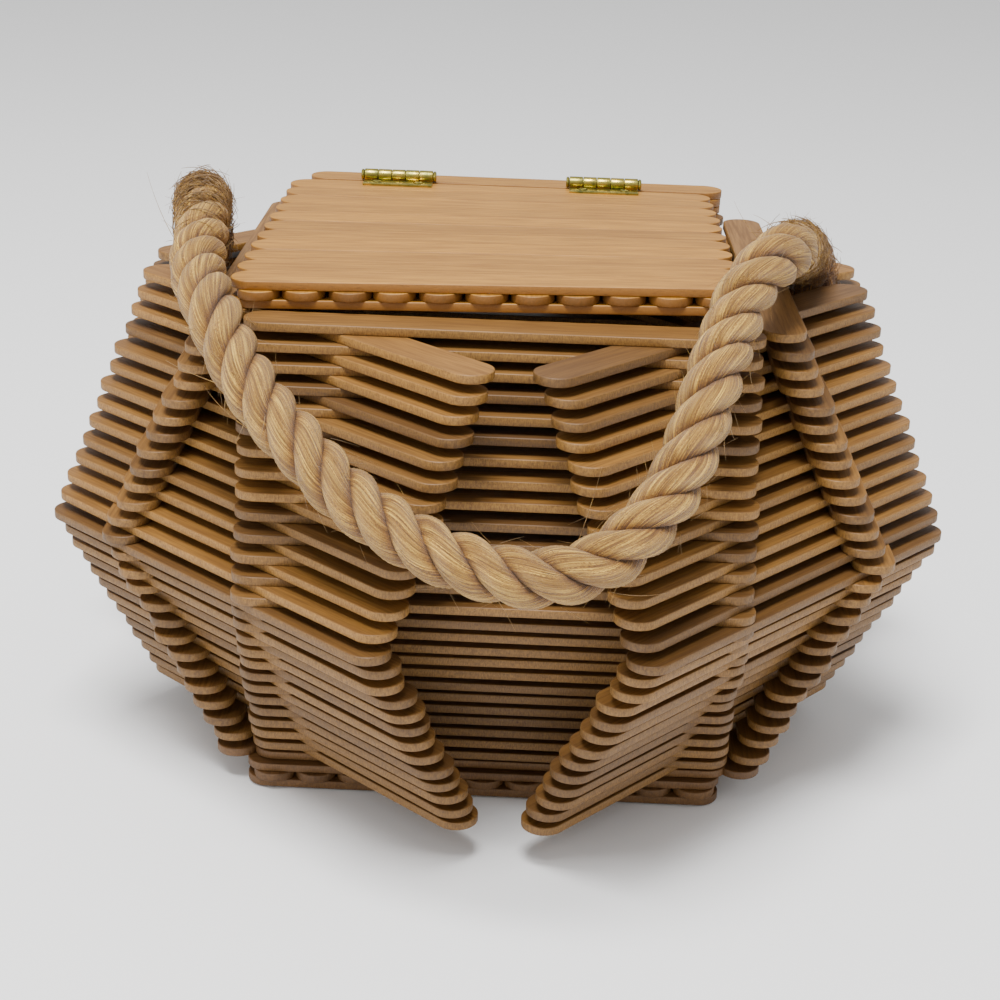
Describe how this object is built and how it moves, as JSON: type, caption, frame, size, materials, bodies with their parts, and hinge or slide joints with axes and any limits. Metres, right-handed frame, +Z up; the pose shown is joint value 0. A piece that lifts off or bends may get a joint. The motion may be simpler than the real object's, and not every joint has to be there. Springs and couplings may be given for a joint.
{
  "type": "lidded craft-stick basket",
  "caption": "Eight-sided basket of stacked craft sticks that swells at the middle, with a hinged flat lid of crossed sticks and a rope handle.",
  "frame": {"origin": "centre of the wooden basket's outline, on the flat underside it stands on; the rope doesn't count", "axes": "+Z up, +X to the right when facing the front, -Y the front, where the lid opens and the rope handle hangs"},
  "size_m": [0.2172, 0.2312, 0.1404],
  "materials": {
    "wall_wood": "satin",
    "lid_wood": "satin",
    "floor_wood": "satin",
    "brass": "dull",
    "sisal": "rough"
  },
  "bodies": {
    "box": {"wall_course_01": "wall_wood", "wall_course_02": "wall_wood", "wall_course_03": "wall_wood", "wall_course_04": "wall_wood", "wall_course_05": "wall_wood", "wall_course_06": "wall_wood", "wall_course_07": "wall_wood", "wall_course_08": "wall_wood", "wall_course_09": "wall_wood", "wall_course_10": "wall_wood", "wall_course_11": "wall_wood", "wall_course_12": "wall_wood", "wall_course_13": "wall_wood", "wall_course_14": "wall_wood", "wall_course_15": "wall_wood", "wall_course_16": "wall_wood", "wall_course_17": "wall_wood", "wall_course_18": "wall_wood", "wall_course_19": "wall_wood", "wall_course_20": "wall_wood", "wall_course_21": "wall_wood", "wall_course_22": "wall_wood", "wall_course_23": "wall_wood", "wall_course_24": "wall_wood", "wall_course_25": "wall_wood", "wall_course_26": "wall_wood", "floor_slat_01": "floor_wood", "floor_slat_02": "floor_wood", "floor_slat_03": "floor_wood", "floor_slat_04": "floor_wood", "floor_slat_05": "floor_wood", "floor_slat_06": "floor_wood", "floor_slat_07": "floor_wood", "floor_slat_08": "floor_wood", "floor_slat_09": "floor_wood", "floor_slat_10": "floor_wood", "floor_slat_11": "floor_wood", "floor_deck": "floor_wood", "rear_rail": "lid_wood", "hinge_leaf_fixed_left": "brass", "hinge_pin_left": "brass", "hinge_leaf_fixed_right": "brass", "hinge_pin_right": "brass", "rope_end_left": "sisal", "rope_end_right": "sisal"},
    "lid": {"lid_slat_01": "lid_wood", "lid_slat_02": "lid_wood", "lid_slat_03": "lid_wood", "lid_slat_04": "lid_wood", "lid_slat_05": "lid_wood", "lid_slat_06": "lid_wood", "lid_slat_07": "lid_wood", "lid_slat_08": "lid_wood", "lid_slat_09": "lid_wood", "lid_slat_10": "lid_wood", "lid_slat_11": "lid_wood", "lid_frame": "lid_wood", "hinge_leaf_lid_left": "brass", "hinge_leaf_lid_right": "brass"},
    "handle": {"rope_handle": "sisal"}
  },
  "joints": [
    {"name": "lid_hinge", "type": "hinge", "parent": "box", "child": "lid", "pos_m": [-0.004, 0.05765, 0.1256], "axis": [-1, 0, 0], "range_deg": [0, 175]},
    {"name": "handle_swing", "type": "hinge", "parent": "box", "child": "handle", "pos_m": [0.071, -0.005, 0.124], "axis": [-0.9991, 0.0069, 0.0411], "range_deg": [0, 125]}
  ]
}
